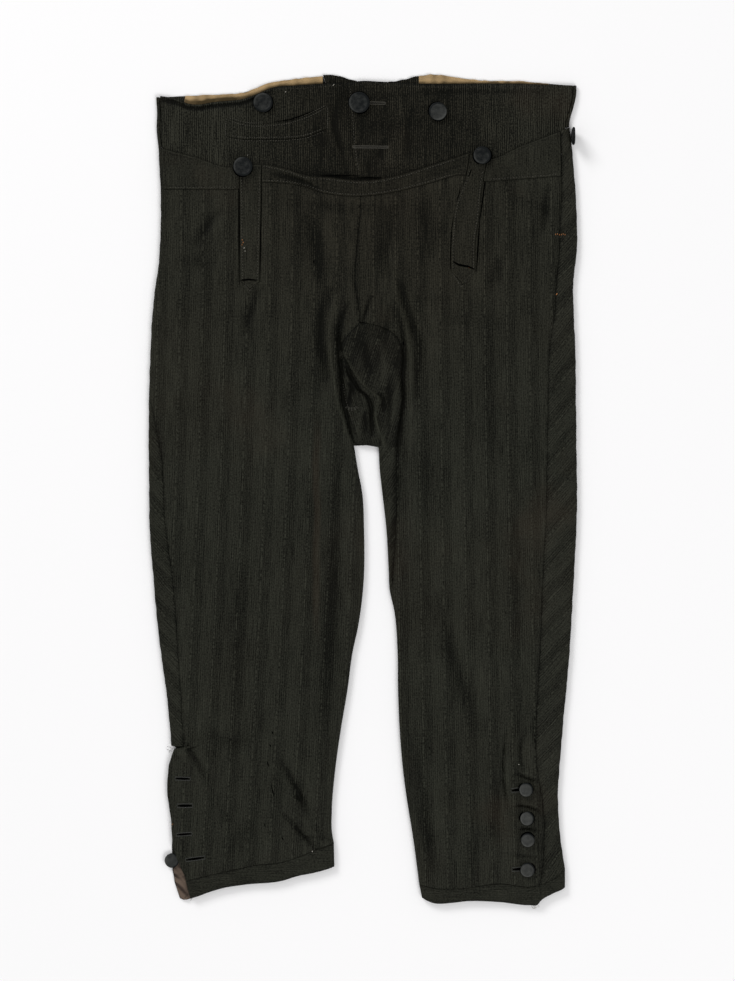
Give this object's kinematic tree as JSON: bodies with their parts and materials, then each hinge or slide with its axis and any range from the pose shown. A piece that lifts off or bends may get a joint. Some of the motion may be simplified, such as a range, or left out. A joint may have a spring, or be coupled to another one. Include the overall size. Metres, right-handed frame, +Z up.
{
  "type": "knee breeches",
  "caption": "Narrow-fall knee breeches of dark ribbed, striped silk, laid flat, with a deep waistband, placket strips, fob welt, covered buttons and knee bands.",
  "frame": {"origin": "centre of the outline on the surface that the breeches lie on", "axes": "+X to the wearer's left, +Y from the knees to the waist, +Z up out of the front"},
  "size_m": [0.3844, 0.7471, 0.0167],
  "materials": {
    "outer_silk": "black-brown ribbed silk with a woven stripe, soft sheen",
    "tan_lining": "tan plain-weave cotton, worn and creased",
    "covered_button": "black silk over a turned mould, lightly glossed"
  },
  "bodies": {
    "root": {"front_right": "outer_silk", "front_left": "outer_silk", "back_right": "outer_silk", "back_left": "outer_silk", "fork_right": "outer_silk", "fork_left": "outer_silk", "knee_band_right": "outer_silk", "knee_band_left": "outer_silk", "waistband_front_right": "outer_silk", "waistband_front_left": "outer_silk", "waistband_back_right": "outer_silk", "waistband_back_left": "outer_silk", "back_gusset": "outer_silk", "fall_band": "outer_silk", "side_band_right": "outer_silk", "side_band_left": "outer_silk", "placket_right": "outer_silk", "placket_left": "outer_silk", "fob_welt": "outer_silk", "lining_right": "tan_lining", "lining_left": "tan_lining", "lining_knee_right": "tan_lining", "waist_button_right": "covered_button", "waist_button_centre": "covered_button", "waist_button_left": "covered_button", "fall_button_right": "covered_button", "fall_button_left": "covered_button", "hip_button": "covered_button", "knee_button_left_1": "covered_button", "knee_button_left_2": "covered_button", "knee_button_left_3": "covered_button", "knee_button_left_4": "covered_button", "knee_button_right": "covered_button"}
  },
  "joints": []
}
